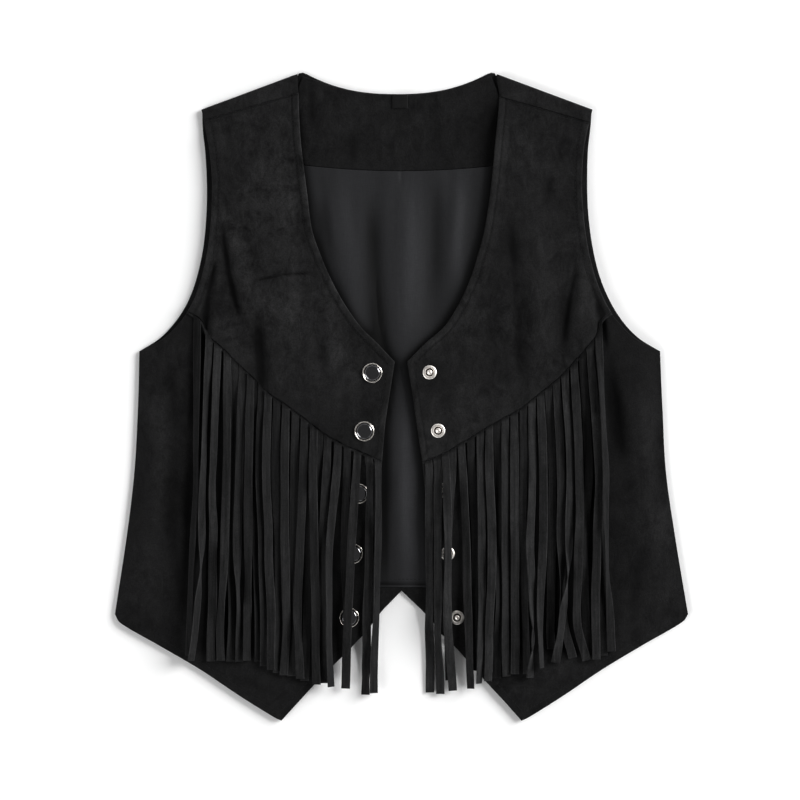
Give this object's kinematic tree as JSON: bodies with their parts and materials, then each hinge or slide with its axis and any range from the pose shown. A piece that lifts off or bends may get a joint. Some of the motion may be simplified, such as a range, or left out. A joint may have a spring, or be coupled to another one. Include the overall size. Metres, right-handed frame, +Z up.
{
  "type": "western vest",
  "caption": "Sleeveless suede western vest laid flat and open, with slanting yokes, long strip fringe over pointed fronts, snaps, and a satin back lining.",
  "frame": {"origin": "on the surface the vest lies on, under the middle of its outline", "axes": "+Z up from the surface, +Y from the hem to the neck, +X to the right as seen from above"},
  "size_m": [0.5066, 0.5734, 0.012],
  "materials": {
    "suede": "black napped suede",
    "fringe_suede": "black suede strips, smooth cut edges",
    "lining_satin": "black satin lining",
    "label_tape": "plain woven tape",
    "cap_steel": "polished dark nickel",
    "stud_steel": "polished nickel"
  },
  "bodies": {
    "root": {"back_panel": "suede", "back_neck_facing": "suede", "back_lining": "lining_satin", "back_hem_facing": "suede", "neck_label": "label_tape", "front_yoke_left": "suede", "front_lower_left": "suede", "fringe_left": "fringe_suede", "front_yoke_right": "suede", "front_lower_right": "suede", "fringe_right": "fringe_suede", "snap_cap_1": "cap_steel", "snap_cap_2": "cap_steel", "snap_cap_3": "cap_steel", "snap_cap_4": "cap_steel", "snap_cap_5": "cap_steel", "snap_stud_1": "stud_steel", "snap_stud_2": "stud_steel", "snap_stud_3": "stud_steel", "snap_stud_4": "stud_steel", "snap_stud_5": "stud_steel"}
  },
  "joints": []
}
